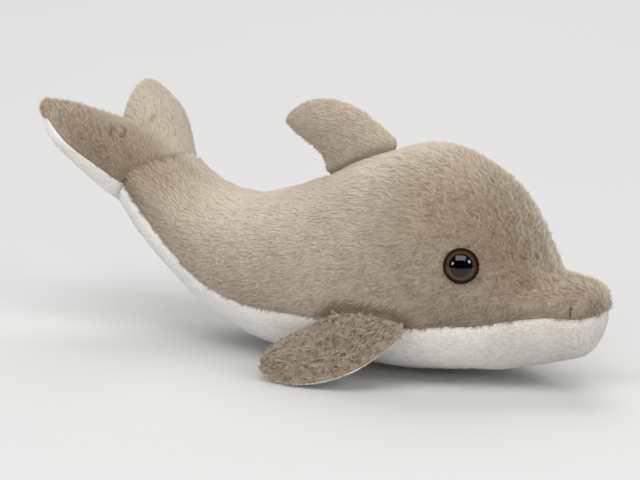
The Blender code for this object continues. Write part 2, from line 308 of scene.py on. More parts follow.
def body_surface(along, angle, depth=0.0):
    """Points at a depth under the outer surface, or over the flat that the belly rests on."""
    point = body_point(along, angle) - body_normal(along, angle) * np.asarray(depth)[..., None]
    floor = np.maximum(depth, 0.0)
    over = point[..., 2] - floor
    point[..., 2] = floor + (over + np.sqrt(over**2 + FLAT_EDGE**2)) / 2
    return point


def seam_angle(along):
    """Where the side seam runs."""
    station = station_at(along)
    return -np.degrees(np.arcsin(station[..., 5] / station[..., 3]))


def edge_angle(along):
    """Where the taupe ends: at the seam, but under it at the tail, where its pile hangs down."""
    station = station_at(along)
    under = station[..., 5] + 2.2 * MM * (1 - eased(along, 40 * MM, 110 * MM))
    return -np.degrees(np.arcsin(under / station[..., 3]))


def bezier(points, t):
    """Places at shares t of the Bezier curve with these control points."""
    while len(points) > 1:
        points = [a * (1 - t[..., None]) + b * t[..., None] for a, b in zip(points, points[1:])]
    return points[0]


def waves(places, wavelength, seed, count=16):
    """Smooth noise about 0, of the wavelength given, from waves that run every way."""
    random = np.random.default_rng(seed)
    ways = unit(random.normal(size=(count, 3))) * (random.uniform(0.7, 1.4, (count, 1)))
    phases = random.uniform(0, math.tau, count)
    heights = np.cos(places @ ways.T * (math.tau / wavelength) + phases)
    return heights.sum(-1) / math.sqrt(count / 2)


def eased(value, low, high):
    """0 up to low, 1 from high on, and smooth between."""
    t = np.clip((value - low) / (high - low), 0, 1)
    return t * t * (3 - 2 * t)


def near(places, points, reach):
    """1 on the points and falling off smoothly past reach."""
    points = np.atleast_2d(np.asarray(points, float))
    least = np.full(places.shape[:-1], np.inf)
    for point in points:
        least = np.minimum(least, np.linalg.norm(places - point, axis=-1))
    return np.exp(-((least / reach) ** 2))


# Sheets
def grid_object(name, places, outward):
    """A mesh object of one grid of quads, facing outward, mapped along its rows and columns."""
    rows, columns = places.shape[:2]
    shape = bmesh.new()
    bmesh.ops.create_grid(shape, x_segments=columns - 1, y_segments=rows - 1, size=0.5)
    for vertex, place in zip(shape.verts, places.reshape(-1, 3)):
        vertex.co = place
    shape.faces.ensure_lookup_table()
    shape.normal_update()
    middle = shape.faces[len(shape.faces) // 2]
    across = outward.reshape(-1, 3)[middle.verts[0].index]
    if middle.normal.dot(Vector(across)) < 0:
        bmesh.ops.reverse_faces(shape, faces=shape.faces)
    layer = shape.loops.layers.uv.new("OFBake")
    for face in shape.faces:
        for loop in face.loops:
            row, column = divmod(loop.vert.index, columns)
            loop[layer].uv = (column / (columns - 1), row / (rows - 1))
    mesh = bpy.data.meshes.new(name)
    shape.to_mesh(mesh)
    shape.free()
    mesh.shade_smooth()
    thing = bpy.data.objects.new(name, mesh)
    bpy.context.scene.collection.objects.link(thing)
    return thing


def normals_of(places, outward):
    """Normals of a grid of points, on the side that outward points to."""
    normals = unit(np.cross(np.gradient(places, axis=0), np.gradient(places, axis=1)))
    return normals * np.sign((normals * outward).sum())


def rim_distances(places):
    """How far each point is from the grid's start and end, and from its low and high column."""
    found = []
    for axis in (0, 1):
        steps = np.linalg.norm(np.diff(places, axis=axis), axis=-1)
        pad = [(0, 0), (0, 0)]
        pad[axis] = (1, 0)
        walked = np.cumsum(np.pad(steps, pad), axis=axis)
        found += [walked, walked.max(axis=axis, keepdims=True) - walked]
    return found


def filled(name, places, outward, held):
    """The sheet after its filling has pushed it out, its held points left where they are."""
    settings = bpy.context.scene.dolphin_skin
    normals = normals_of(places, outward)
    thing = grid_object(name, places, normals)
    group = thing.vertex_groups.new(name="held")
    for index, weight in enumerate(held.ravel()):
        if weight > 0.01:
            group.add([index], float(weight), "REPLACE")
    cloth = thing.modifiers.new("Filling", "CLOTH")
    cloth.settings.quality = 4
    cloth.settings.mass = 0.3
    cloth.settings.tension_stiffness = 15
    cloth.settings.compression_stiffness = 15
    cloth.settings.bending_stiffness = 0.5
    cloth.settings.use_pressure = True
    cloth.settings.uniform_pressure_force = settings.pressure
    cloth.settings.vertex_group_mass = group.name
    cloth.settings.effector_weights.gravity = 0
    cloth.collision_settings.use_collision = False
    cloth.point_cache.frame_start = 1
    cloth.point_cache.frame_end = settings.frames
    scene = bpy.context.scene
    for number in range(1, settings.frames + 1):
        scene.frame_set(number)
    mesh = thing.evaluated_get(bpy.context.evaluated_depsgraph_get()).to_mesh()
    moved = np.empty(len(mesh.vertices) * 3)
    mesh.vertices.foreach_get("co", moved)
    bpy.data.objects.remove(thing)
    scene.frame_set(1)
    out = ((moved.reshape(places.shape) - places) * normals).sum(-1)
    return places + normals * np.clip(out, -0.3 * settings.puff, settings.puff)[..., None]


def finish_sheet(
    places, outward, turn, tone_seed, shade=1.0, warm=0.0, furrow=1.0, fan=(0.0, 0.0)
):
    """The sheet with its normals, its nap turned from the rows' way, and its tones.

    The nap fans out by shares of fan towards the sides and towards the end.
    """
    normals = normals_of(places, outward)
    lengthways = unit(np.gradient(places, axis=0))
    across = unit(np.cross(normals, lengthways))
    turn = np.broadcast_to(np.asarray(turn, float), places.shape[:-1])
    nap = unit(lengthways * np.cos(turn)[..., None] + across * np.sin(turn)[..., None])
    _, *rims = rim_distances(places)
    end, low, high = (np.exp(-((d / (2 * MM)) ** 2))[..., None] for d in rims)
    sideways = unit(np.gradient(places, axis=1))
    nap = unit(nap + fan[0] * (high - low) * sideways + fan[1] * end * lengthways)
    # Handling leaves faint broad patches, and finer ones within them
    mottle = 0.02 * waves(places, 26 * MM, tone_seed)
    mottle = mottle + 0.015 * waves(places, 9 * MM, tone_seed + 1)
    warm, furrow = (np.broadcast_to(field, places.shape[:-1]) + 0.0 for field in (warm, furrow))
    trim = 0.45 if any(fan) else 0.0
    return Sheet(places, normals, nap, turn, shade * (1 + mottle), warm, furrow, trim)


def mirrored(sheet):
    """The same sheet on the other side."""
    return sheet._replace(
        places=sheet.places * MIRROR, normals=sheet.normals * MIRROR, nap=sheet.nap * MIRROR
    )


def on_right(places):
    """The places, with those of the left side mirrored to the right."""
    return places * np.where(places[..., 1:2] > 0, MIRROR, (1.0, 1.0, 1.0))


def add_values(mesh, name, values):
    """A named attribute with one value for each vertex."""
    layer = mesh.attributes.new(name, "FLOAT", "POINT")
    layer.data.foreach_set("value", np.ascontiguousarray(values, np.float32).ravel())


def add_skin(name, sheet, finish, slot, *nodes):
    """A fabric panel: its sheet backed by the thickness of the cloth."""
    thing = grid_object(name, sheet.places, sheet.normals)
    # Painted shade: the backing between the tufts is darker, as deep in the pile where shade falls
    add_values(thing.data, "height", np.full(sheet.shade.size, 0.1))
    add_values(thing.data, "shade", sheet.shade * 0.9)
    add_values(thing.data, "warm", sheet.warm)
    thing.data.materials.append(finish)
    wall = thing.modifiers.new("Backing", "SOLIDIFY")
    wall.thickness = bpy.context.scene.dolphin_skin.backing
    wall.offset = -1
    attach(thing, "root")
    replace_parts(thing, *nodes)
    return thing


# Pile
def tuft_shape():
    """The corners and faces of one tuft: a thin three-sided point, one long and one across."""
    shape = bmesh.new()
    bmesh.ops.create_cone(
        shape, cap_ends=True, segments=3, radius1=1.0, radius2=0.0, depth=1.0
    )
    bmesh.ops.translate(shape, verts=shape.verts, vec=(0, 0, 0.5))
    bmesh.ops.remove_doubles(shape, verts=shape.verts, dist=0.001)
    bmesh.ops.triangulate(shape, faces=shape.faces)
    bmesh.ops.recalc_face_normals(shape, faces=shape.faces)
    shape.verts.index_update()
    corners = np.array([vertex.co[:] for vertex in shape.verts])
    faces = np.array([[vertex.index for vertex in face.verts] for face in shape.faces])
    shape.free()
    return corners, faces


def scattered(sheet, count, random):
    """The quads and the places in them where tufts stand, spread evenly over the sheet."""
    places = sheet.places
    first, second = places[:-1, :-1], places[:-1, 1:]
    third, fourth = places[1:, 1:], places[1:, :-1]
    areas = np.linalg.norm(np.cross(third - first, fourth - second), axis=-1) / 2
    shares = np.cumsum(areas) / areas.sum()
    picks = (np.arange(count) + random.random(count)) / count
    quads = np.minimum(np.searchsorted(shares, picks), areas.size - 1)
    rows, columns = np.divmod(quads, places.shape[1] - 1)
    return rows, columns, *random.random((2, count))


def area_of(places):
    """The area of a grid of points, in m2."""
    crossed = np.cross(places[1:, 1:] - places[:-1, :-1], places[1:, :-1] - places[:-1, 1:])
    return np.linalg.norm(crossed, axis=-1).sum() / 2


def locks_of(points, centres):
    """The nearest centre to each point, and how near the point is to the next one, up to 1."""
    tree = kdtree.KDTree(len(centres))
    for index, centre in enumerate(centres):
        tree.insert((centre[0], centre[1], 0.0), index)
    tree.balance()
    found = [tree.find_n((point[0], point[1], 0.0), 2) for point in points]
    lock = np.array([pair[0][1] for pair in found])
    near_far = np.array([[pair[0][2], pair[-1][2]] for pair in found])
    return lock, near_far[:, 0] / np.maximum(near_far[:, 1], 1e-9)


def open_places(places, covers):
    """Which places no covering sheet has on its inner side close by."""
    clear = np.ones(len(places), bool)
    for cover in covers:
        points, normals = (f[2:].reshape(-1, 3) for f in (cover.places, cover.normals))
        low, high = points.min(0) - 3 * MM, points.max(0) + 3 * MM
        close = np.flatnonzero(((places > low) & (places < high)).all(-1))
        tree = kdtree.KDTree(len(points))
        for index, point in enumerate(points):
            tree.insert(point, index)
        tree.balance()
        for index in close:
            point, nearest_index, distance = tree.find(places[index])
            if distance < 6 * MM:
                above = (places[index] - points[nearest_index]) @ normals[nearest_index]
                clear[index] &= above > 0.7 * MM
    return clear


def add_pile(name, sheet, pile, seed, finish, skin, covers):
    """The pile of one panel, in tufts that lean along the nap and gather into locks.

    Tufts are left out under the covering sheets. Where the furrow map is low the pile is smooth:
    its tufts are wider, more alike and less gathered.
    """
    random = np.random.default_rng(seed)
    count = min(int(area_of(sheet.places) / MM**2 * pile.density), MOST_TUFTS)
    rows, columns, v, u = scattered(sheet, count, random)
    middle = (sheet.places + sheet.normals * 0.6 * MM)[rows, columns]
    clear = open_places(middle, covers)
    start, end, low, high = rim_distances(sheet.places)
    clear &= np.minimum(end, high)[rows, columns] >= pile.margin
    rows, columns, v, u = rows[clear], columns[clear], v[clear], u[clear]
    count = len(rows)

    def at(field):
        """The field's values where the tufts stand."""
        a, b = field[rows, columns], field[rows, columns + 1]
        c, d = field[rows + 1, columns], field[rows + 1, columns + 1]
        s, t = (u, v) if field.ndim == 2 else (u[:, None], v[:, None])
        return (a * (1 - s) + b * s) * (1 - t) + (c * (1 - s) + d * s) * t

    root, normal, nap = at(sheet.places), unit(at(sheet.normals)), unit(at(sheet.nap))
    nap = unit(nap - normal * (nap * normal).sum(-1, keepdims=True))
    rough = 0.2 + 1.2 * at(sheet.furrow)
    turn = pile.wander * waves(root, 5 * MM, seed + 1) + random.normal(0, 0.22, count)
    rise = 0.32 * pile.wander * waves(root, 3.5 * MM, seed + 2) + random.normal(0, 0.09, count)
    turn, lean = rough * turn, np.clip(pile.lean + rough * rise, 0.25, 1.3)
    side = np.cross(normal, nap)
    heading = nap * np.cos(turn)[:, None] + side * np.sin(turn)[:, None]
    way = heading * np.cos(lean)[:, None] + normal * np.sin(lean)[:, None]
    rim = np.exp(-((at(np.minimum(np.minimum(low, high), end)) / (2.2 * MM)) ** 2))
    long = pile.length * (1 + random.normal(0, 0.12, count)) * (1 - sheet.trim * rim)
    tip = root + way * long[:, None]

    across, lengthways, bend = at(low), at(start), float(sheet.turn.mean())
    down = lengthways * np.cos(bend) + across * np.sin(bend)
    over = across * np.cos(bend) - lengthways * np.sin(bend)
    points = np.stack((down / 2.3, over), axis=-1)
    middles = random.permutation(count)[: max(int(count / pile.clump), 1)]
    lock, border = locks_of(points, points[middles])
    middle_tip = tip[middles[lock]]
    pull = (0.2 + 0.35 * at(sheet.furrow))[:, None]
    pull = pull * (np.linalg.norm(middle_tip - tip, axis=-1, keepdims=True) < 1.5 * pile.length)
    gathered = tip * (1 - pull) + middle_tip * pull
    way = unit(gathered - root)
    reach = long * random.uniform(0.9, 1.05, count)
    way[:, 2] = np.maximum(way[:, 2], (LOWEST_TIP - root[:, 2]) / reach)
    way = unit(way)

    side = unit(np.cross(normal, way))
    up = np.cross(way, side)
    corners, faces = tuft_shape()
    foot = root - normal * TUFT_ROOT
    width = pile.width / 2 * random.uniform(0.8, 1.2, count)
    width = width * np.maximum(1.8 - 0.9 * rough, 1)
    parts = (
        side[:, None] * (corners[:, 0] * width[:, None])[..., None]
        + up[:, None] * (corners[:, 1] * width[:, None])[..., None]
        + way[:, None] * (corners[:, 2] * (reach + TUFT_ROOT)[:, None])[..., None]
    )
    places = foot[:, None] + parts
    places[..., 2] = np.maximum(places[..., 2], LOWEST_SIDE)

    mesh = bpy.data.meshes.new(name)
    total = count * len(corners)
    loops = (np.arange(count)[:, None, None] * len(corners) + faces).reshape(-1)
    mesh.vertices.add(total)
    mesh.vertices.foreach_set("co", places.reshape(-1))
    mesh.loops.add(len(loops))
    mesh.loops.foreach_set("vertex_index", loops)
    mesh.polygons.add(len(loops) // 3)
    mesh.polygons.foreach_set("loop_start", np.arange(0, len(loops), 3))
    mesh.update(calc_edges=True)
    mesh.shade_smooth()
    # Tufts are shaded mostly as the sheet is, and a little as round fibres
    shading = (
        normal[:, None] * 0.9
        + side[:, None] * (rough[:, None] * corners[:, 0] * (0.2 + 0.5 * pile.wander))[..., None]
        + way[:, None] * (corners[:, 2] * 0.25)[:, None]
        + random.normal(0, 0.08, (count, 1, 3)) * rough[:, None, None]
    )
    mesh.normals_split_custom_set_from_vertices(unit(shading).reshape(-1, 3))
    # Painted shade: tufts are darker at the borders of locks, where the furrows are, and in small
    # sewn and folded lines
    furrow = pile.furrow * at(sheet.furrow) * eased(border, 0.74, 1.0) if pile.furrow else 0.0
    tone = at(sheet.shade) * (1 + rough * random.normal(0, 0.035, count)) * (1 - furrow)
    tone = tone * (1 - marks(root * 0.4 + gathered * 0.6))
    # Painted shade: where the furrows are deeper the tufts darken more towards their roots
    contrast = 0.15 + 1.1 * at(sheet.furrow)
    middle_height = 0.62
    heights = middle_height + contrast[:, None] * (corners[:, 2] - middle_height)
    add_values(mesh, "height", heights)
    add_values(mesh, "shade", np.repeat(tone, len(corners)))
    add_values(mesh, "warm", np.repeat(at(sheet.warm), len(corners)))
    row_count, column_count = np.array(sheet.places.shape[:2]) - 1
    maps = np.stack(((columns + u) / column_count, (rows + v) / row_count), axis=-1)
    spread = corners[:, ::2] * (0.4 / column_count, 1.2 / row_count)
    maps = np.clip(maps[:, None] + spread, 0, 1).reshape(-1, 2)
    layer = mesh.uv_layers.new(name="OFBake")
    layer.data.foreach_set("uv", maps[loops].astype(np.float32).reshape(-1))
    mesh.materials.append(finish)
    thing = bpy.data.objects.new(name, mesh)
    bpy.context.scene.collection.objects.link(thing)
    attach(thing, "root")
    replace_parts(thing, *skin["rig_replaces"])
    return thing


# Materials
def add_node(tree, kind, settings=(), links=()):
    """A node with its settings, and its sockets set from values or linked from other sockets."""
    node = tree.nodes.new(kind)
    for name, value in dict(settings).items():
        setattr(node, name, value)
    for socket, value in dict(links).items():
        if isinstance(value, bpy.types.NodeSocket):
            tree.links.new(value, node.inputs[socket])
        else:
            node.inputs[socket].default_value = value
    return node


def new_material(name, **sockets):
    """A material and its shader, with the shader's constant sockets set."""
    made = bpy.data.materials.new(name)
    made.use_nodes = True
    shader = made.node_tree.nodes["Principled BSDF"]
    for socket, value in sockets.items():
        shader.inputs[socket.replace("_", " ")].default_value = value
    return made, made.node_tree, shader


def rgba(colour):
    """The colour, opaque."""
    return (*colour, 1.0)


def plush(name, root, tip, warm, sheen, lines):
    """Knitted polyester plush: dull fibres, painted darker at their roots as the shade deep in the
    pile, and pale at grazing angles.

    Lines are small dark ovals, such as the painted shade in the dart's fold: the centre,
    half-sizes and darkness of each.
    """
    made, tree, shader = new_material(
        name, Roughness=0.95, Sheen_Weight=sheen, Sheen_Roughness=0.45, Specular_IOR_Level=0.15
    )
    shader.inputs["Sheen Tint"].default_value = rgba(tip)
    height = add_node(tree, "ShaderNodeAttribute", {"attribute_name": "height"}).outputs["Fac"]
    shade = add_node(tree, "ShaderNodeAttribute", {"attribute_name": "shade"}).outputs["Fac"]
    backlit_share = add_node(tree, "ShaderNodeAttribute", {"attribute_name": "warm"}).outputs["Fac"]
    place = add_node(tree, "ShaderNodeTexCoord").outputs["Object"]
    # Locks of fibre are about 3 mm apart
    noise = add_node(
        tree, "ShaderNodeTexNoise", {}, {"Vector": place, "Scale": 1 / (3 * MM), "Detail": 3.0}
    ).outputs["Fac"]
    # Painted shade: the colour darkens from the tips to the roots, as deep in the pile
    lifted = add_node(
        tree, "ShaderNodeMapRange", {},
        {"Value": height, "From Max": 0.8, "To Min": 0.05, "To Max": 0.85},
    ).outputs["Result"]
    varied = add_node(
        tree, "ShaderNodeMath", {"operation": "MULTIPLY_ADD"}, {0: noise, 1: 0.22, 2: -0.11}
    ).outputs[0]
    raised = add_node(
        tree, "ShaderNodeMath", {"operation": "ADD", "use_clamp": True}, {0: lifted, 1: varied}
    ).outputs[0]
    mixed = {"data_type": "RGBA"}
    fibre = add_node(
        tree, "ShaderNodeMix", mixed, {"Factor": raised, 6: rgba(root), 7: rgba(tip)}
    ).outputs[2]
    # Painted backlight glow, where light shows through thin tips
    glow = add_node(
        tree, "ShaderNodeMix", mixed, {"Factor": backlit_share, 6: fibre, 7: rgba(warm)}
    ).outputs[2]
    # Nap turned away from the light is darker, and a little browner
    level = add_node(
        tree, "ShaderNodeVectorMath", {"operation": "MULTIPLY_ADD"},
        {0: shade, 1: (0.92, 1.0, 1.1), 2: (0.08, 0.0, -0.1)},
    ).outputs[0]
    for centre, radii, dark in lines:
        radii = np.array(radii)
        offset = add_node(
            tree, "ShaderNodeVectorMath", {"operation": "MULTIPLY_ADD"},
            {0: place, 1: tuple(1 / radii), 2: tuple(-centre / radii)},
        ).outputs[0]
        away = add_node(tree, "ShaderNodeVectorMath", {"operation": "LENGTH"}, {0: offset})
        share = add_node(
            tree, "ShaderNodeMapRange", {"interpolation_type": "SMOOTHSTEP"},
            {"Value": away.outputs["Value"], "From Min": 0.3, "To Min": 1 - dark, "To Max": 1.0},
        ).outputs["Result"]
        level = add_node(
            tree, "ShaderNodeVectorMath", {"operation": "SCALE"}, {0: level, "Scale": share}
        ).outputs[0]
    toned = add_node(
        tree, "ShaderNodeVectorMath", {"operation": "MULTIPLY"}, {0: glow, 1: level}
    ).outputs[0]
    tree.links.new(toned, shader.inputs["Base Color"])
    return made


def plush_finishes():
    """The two plushes, made once: taupe with painted shade in its dart, white with a dark mark at
    the tail.
    """
    pile = bpy.context.scene.dolphin_pile
    found = [bpy.data.materials.get(name) for name in ("taupe_minky", "white_minky")]
    if None in found:
        # The dart's line is painted shade in its fold; the tail mark is a small dark mark
        low, high = (body_surface(DART_ALONG, float(angle)) for angle in DART_ANGLES)
        dart = ((low + high) / 2, (0.5 * MM, 60 * MM, (high - low)[2] / 2 + 0.5 * MM), 0.6)
        tail_mark = (body_surface(14.2 * MM, -46.0, 1.0 * MM), (1.2 * MM, 2.5 * MM, 1.0 * MM), 0.8)
        found = [
            plush("taupe_minky", pile.taupe_root, pile.taupe_tip, pile.taupe_backlit, 0.35, [dart]),
            plush("white_minky", pile.white_root, pile.white_tip, pile.white_tip, 0.2, [tail_mark]),
        ]
    return found


def fibre_fill():
    """Loose polyester filling: matt white, cloudy with small shadows."""
    made, tree, shader = new_material("polyester_fibre", Roughness=1.0, Sheen_Weight=0.2)
    place = add_node(tree, "ShaderNodeTexCoord").outputs["Object"]
    noise = add_node(
        tree, "ShaderNodeTexNoise", {}, {"Vector": place, "Scale": 1 / (4 * MM), "Detail": 6.0}
    ).outputs["Fac"]
    colours = {"Factor": noise, 6: rgba(linear("#D9D7D0")), 7: rgba(linear("#F4F3EF"))}
    mix = add_node(tree, "ShaderNodeMix", {"data_type": "RGBA"}, colours).outputs[2]
    tree.links.new(mix, shader.inputs["Base Color"])
    bump = add_node(
        tree, "ShaderNodeBump", {}, {"Height": noise, "Strength": 0.6, "Distance": 1 * MM}
    ).outputs[0]
    tree.links.new(bump, shader.inputs["Normal"])
    return made


def washer_plastic():
    """Moulded polyethylene: milky, slightly waxy, with faint flow marks."""
    made, tree, shader = new_material("moulded_polyethylene", Roughness=0.45, IOR=1.51)
    place = add_node(tree, "ShaderNodeTexCoord").outputs["Object"]
    noise = add_node(
        tree, "ShaderNodeTexNoise", {}, {"Vector": place, "Scale": 1 / (3 * MM), "Detail": 2.0}
    ).outputs["Fac"]
    colours = {"Factor": noise, 6: rgba(linear("#E2E0D8")), 7: rgba(linear("#EFEDE6"))}
    mix = add_node(tree, "ShaderNodeMix", {"data_type": "RGBA"}, colours).outputs[2]
    tree.links.new(mix, shader.inputs["Base Color"])
    return made


def eye_plastic():
    """Moulded acrylic: a black pupil and brown ring under a clear glossy dome."""
    colours = bpy.context.scene.dolphin_eye
    made, tree, shader = new_material("moulded_acrylic", Roughness=0.09, IOR=1.49)
    ring = add_node(tree, "ShaderNodeAttribute", {"attribute_name": "ring"}).outputs["Fac"]
    ramp = add_node(tree, "ShaderNodeValToRGB", {}, {"Fac": ring})
    stops = (
        (0.0, colours.pupil), (0.61, colours.pupil),
        (0.71, colours.iris), (0.78, colours.iris),
        (0.87, colours.rim), (1.0, colours.rim),
    )
    elements = ramp.color_ramp.elements
    while len(elements) < len(stops):
        elements.new(0.5)
    for element, (position, colour) in zip(elements, stops):
        element.position = position
        element.color = rgba(colour)
    tree.links.new(ramp.outputs["Color"], shader.inputs["Base Color"])
    # The lacquered rim is duller than the dome
    dulled = add_node(
        tree, "ShaderNodeMapRange", {},
        {"Value": ring, "From Min": 0.7, "From Max": 0.88, "To Min": 0.5, "To Max": 0.06},
    ).outputs["Result"]
    tree.links.new(dulled, shader.inputs["Specular IOR Level"])
    return made


# Body
def body_sheet(name, rows, low, high, columns, turn, seed, tones):
    """One body panel between two angles that change along the body.

    It starts inside its filled shape, dips at its seams and dents, and is then pushed out.
    """
    settings = bpy.context.scene.dolphin_skin
    along = np.repeat(rows[:, None], columns, axis=1)
    share = np.linspace(0, 1, columns)
    angle = low(rows)[:, None] * (1 - share) + high(rows)[:, None] * share
    outer = body_surface(along, angle, 0.0)
    outward = body_normal(along, angle)
    start, end, one, other = rim_distances(outer)
    rim = np.exp(-((np.minimum(one, other) / settings.seam_reach) ** 2))
    stitched = np.exp(-((start / settings.seam_reach) ** 2))
    dents = body_dents(outer)
    closed = np.exp(-((end / (3 * MM)) ** 2))
    dips = np.maximum(rim, stitched) * settings.seam_dip + dents
    depth = settings.pile_rise + settings.slack * (1 - 0.7 * closed)
    depth = depth + dips - beak_swell(along, angle)
    places = body_surface(along, angle, depth)
    held = np.clip(np.maximum.reduce((rim, stitched, closed, dents / (1.0 * MM))), 0, 1)
    held[0] = held[-1] = held[:, 0] = held[:, -1] = 1.0
    places = filled(name, places, outward, held)
    return finish_sheet(places, outward, turn(along, angle), seed, *tones(along, angle, outer))


def beak_swell(along, angle):
    """How far the top of the beak stands out past its sections, as the photograph shows it."""
    lengthways = (along - BODY_LENGTH + 9 * MM) / (8 * MM)
    return 1.8 * MM * np.exp(-(lengthways**2) - ((angle - 75) / 50) ** 2)


def body_dents(places):
    """How deep the skin is drawn in round the eyes, under the fins and at the beak's dart."""
    right = on_right(places)
    angles = np.linspace(0, math.tau, 40, endpoint=False)
    eye = body_surface(EYE_ALONG, float(EYE_ANGLE), 0.0)
    dents = 0.9 * MM * near(right, eye, 8 * MM)
    for fin in (dorsal_fin(), flipper()):
        foot = fin.foot(np.degrees(angles), 0.0)
        dents += 1.1 * MM * near(right, foot, 2.2 * MM)
    dart = body_surface(np.full(9, DART_ALONG), np.linspace(*DART_ANGLES, 9), 0.0)
    return dents + 0.9 * MM * near(right, dart, 1.0 * MM)


def foot_crease_shade(places):
    """1 in the folds at the fins' feet and 0 away from them, where painted shade darkens the pile.
    """
    right = on_right(places)
    angles = np.linspace(0, 360, 40, endpoint=False)
    feet = ((dorsal_fin(), 1.3 * MM), (flipper(), 2.8 * MM))
    return np.maximum.reduce([near(right, fin.foot(angles, 0.0), reach) for fin, reach in feet])


@functools.cache
def mark_lines():
    """Small sewn and folded lines, darkened with painted shade: points, the way the pile stands
    there, reach and darkness.
    """
    side = np.array((0.0, 1.0, 0.0))
    dart = body_surface(np.full(14, DART_ALONG), np.linspace(*DART_ANGLES, 14), 0.5 * MM)
    middle, up = fluke_point(np.array(0.5), np.array(63.0), np.array(1.5 * MM))
    fold, _ = fluke_point(np.full(5, 0.68), np.linspace(101, 108, 5), np.full(5, 1.5 * MM))
    # A round dimple, seen as two arcs that face each other
    outward = np.array((-up[2], 0.0, up[0]))
    sideways, upward = 1.48 * side - 0.34 * outward, 1.15 * side + 1.05 * outward
    turns = np.concatenate((np.linspace(-55, 60, 10), np.linspace(125, 235, 10)))
    turns = np.radians(turns)[:, None]
    ring = middle + 2.3 * MM * (sideways * np.cos(turns) + upward * np.sin(turns))
    return (
        (np.concatenate((dart, dart * MIRROR)), side, 0.7 * MM, 0.3),
        (ring, up, 0.8 * MM, 0.6),
        (fold, up, 0.9 * MM, 0.5),
    )


def marks(places):
    """How much darker painted shade in small sewn and folded lines leaves the pile at these
    places.
    """
    found = np.zeros(len(places))
    for line, way, reach, dark in mark_lines():
        # Depth in the pile counts for little
        flat, flat_line = (p - 0.8 * way * (p @ way)[:, None] for p in (places, line))
        found = np.maximum(found, dark * near(flat, flat_line, reach))
    return found


def back_nap(along, angle):
    """The back's nap runs to the tail, straight by the side seam and a little down elsewhere."""
    return math.pi + 0.28 * eased(angle - seam_angle(along), 0, 14)


def back_tones(along, angle, places):
    """The taupe's painted light and shade as its nap turns to the light, no backlight glow, and
    how deep its furrows are.
    """
    upper = eased(angle, 40, 85)
    head = eased(along, (92 + 24 * upper) * MM, (153 + 12 * upper) * MM)
    tail = 1 - eased(along, 0, 42 * MM)
    front = np.exp(-(((along - 163 * MM) / (11 * MM)) ** 2) - ((angle - 52) / 26) ** 2)
    low = np.exp(-(((angle - seam_angle(along)) / 16) ** 2)) * (1 - head)
    stitch_shade = np.exp(-((along / (1.8 * MM)) ** 2))
    # Painted light and shade as the nap turns to the light: darker on the head, at the tail, low
    # by the side seam, on the front of the head and a little higher up, lighter at the beak
    level = 1.05 - 0.36 * head - 0.3 * tail - 0.1 * low - 0.14 * front
    level = level - 0.03 * upper * (1 - head)
    level = level + 0.05 * eased(along, 165 * MM, 180 * MM)
    # Painted shade in the tail stitch line and in the folds at the fins' feet
    level = level * (1 - 0.25 * stitch_shade) * (1 - 0.4 * foot_crease_shade(places))
    # Smooth on the upper flank, and furrowed on the head, at the tail and by the side seam
    furrowed = (0.9 * head, tail * (0.7 - 0.4 * upper), 0.8 - 0.8 * eased(angle, 0, 50))
    return level, 0.0, 0.1 + 0.8 * np.maximum.reduce(furrowed)


def belly_tones(along, angle, places):
    """The white's level: greyer towards the chin, where less light comes up from the floor."""
    level = 1.05 - 0.07 * eased(along, 30 * MM, 80 * MM) - 0.2 * eased(along, 145 * MM, 180 * MM)
    return level, 0.0, 0.65


def body_rows(spacing):
    """How far along the body its rows lie, closer together where the beak rounds off."""
    straight = BODY_LENGTH - BEAK_ROUNDING
    count = round(straight / spacing)
    rounded = np.linspace(0, math.acos(BEAK_OPENING), 9)[1:]
    rows = np.linspace(-1.5 * MM, straight, count)
    return np.concatenate((rows, straight + BEAK_ROUNDING * np.sin(rounded)))


# The flippers' pile is longer and stands up more, and white pile is short and lies flat
TAUPE_PILE = Pile(1.9 * MM, 0.28 * MM, 4.7, 0.58, 8, 0.5, 0.6)
FLIPPER_PILE = Pile(2.2 * MM, 0.3 * MM, 6.5, 0.7, 18, 0.8, 0.8)
WHITE_PILE = Pile(1.1 * MM, 0.42 * MM, 4.0, 0.36, 1, 0.1, 0.0)
FIN_WHITE_PILE = WHITE_PILE._replace(margin=1.4 * MM)
FRINGE_PILE = WHITE_PILE._replace(length=1.5 * MM, margin=0.3 * MM)


def add_panels(panels, covers=()):
    """Skins and piles of several panels: name, sheet, pile, seed, finish and slot of each."""
    for name, sheet, pile, seed, finish, slot in panels:
        skin = add_skin(name + "_skin", sheet, finish, slot, name)
        add_pile(name + "_pile", sheet, pile, seed, finish, skin, covers)


@functools.cache
def body_sheets():
    """The sheets of the right back panel, the left one and the belly panel."""
    rows = body_rows(2.2 * MM)
    back = body_sheet(
        "back", rows, edge_angle, lambda a: np.full(len(a), 90.0), 44, back_nap, 11, back_tones
    )
    belly = body_sheet(
        "belly", rows, lambda a: -180 - edge_angle(a), edge_angle, 48,
        lambda along, angle: math.pi + 0 * along, 12, belly_tones,
    )
    # Past the back seam the left side's nap lies the other way, so it is painted lighter, as it
    # looks in the light
    left = mirrored(back)
    past = 0.85 * eased(np.linspace(1, 0, left.shade.shape[1]), 0.03, 0.25)
    return back, left._replace(shade=left.shade * (1 - past) + past), belly


@functools.cache
def dorsal_sheets():
    """The sheets of the dorsal fin's right side and its left, which is in less shade."""
    # Painted backlight glow at the fin's tip
    side = fin_skin("dorsal", dorsal_fin(), 0, 180, 0.0, 0.35, 21, 1.0, 0.2, furrow=0.35)
    left = mirrored(side)
    return side, left._replace(shade=0.5 + 0.5 * left.shade)


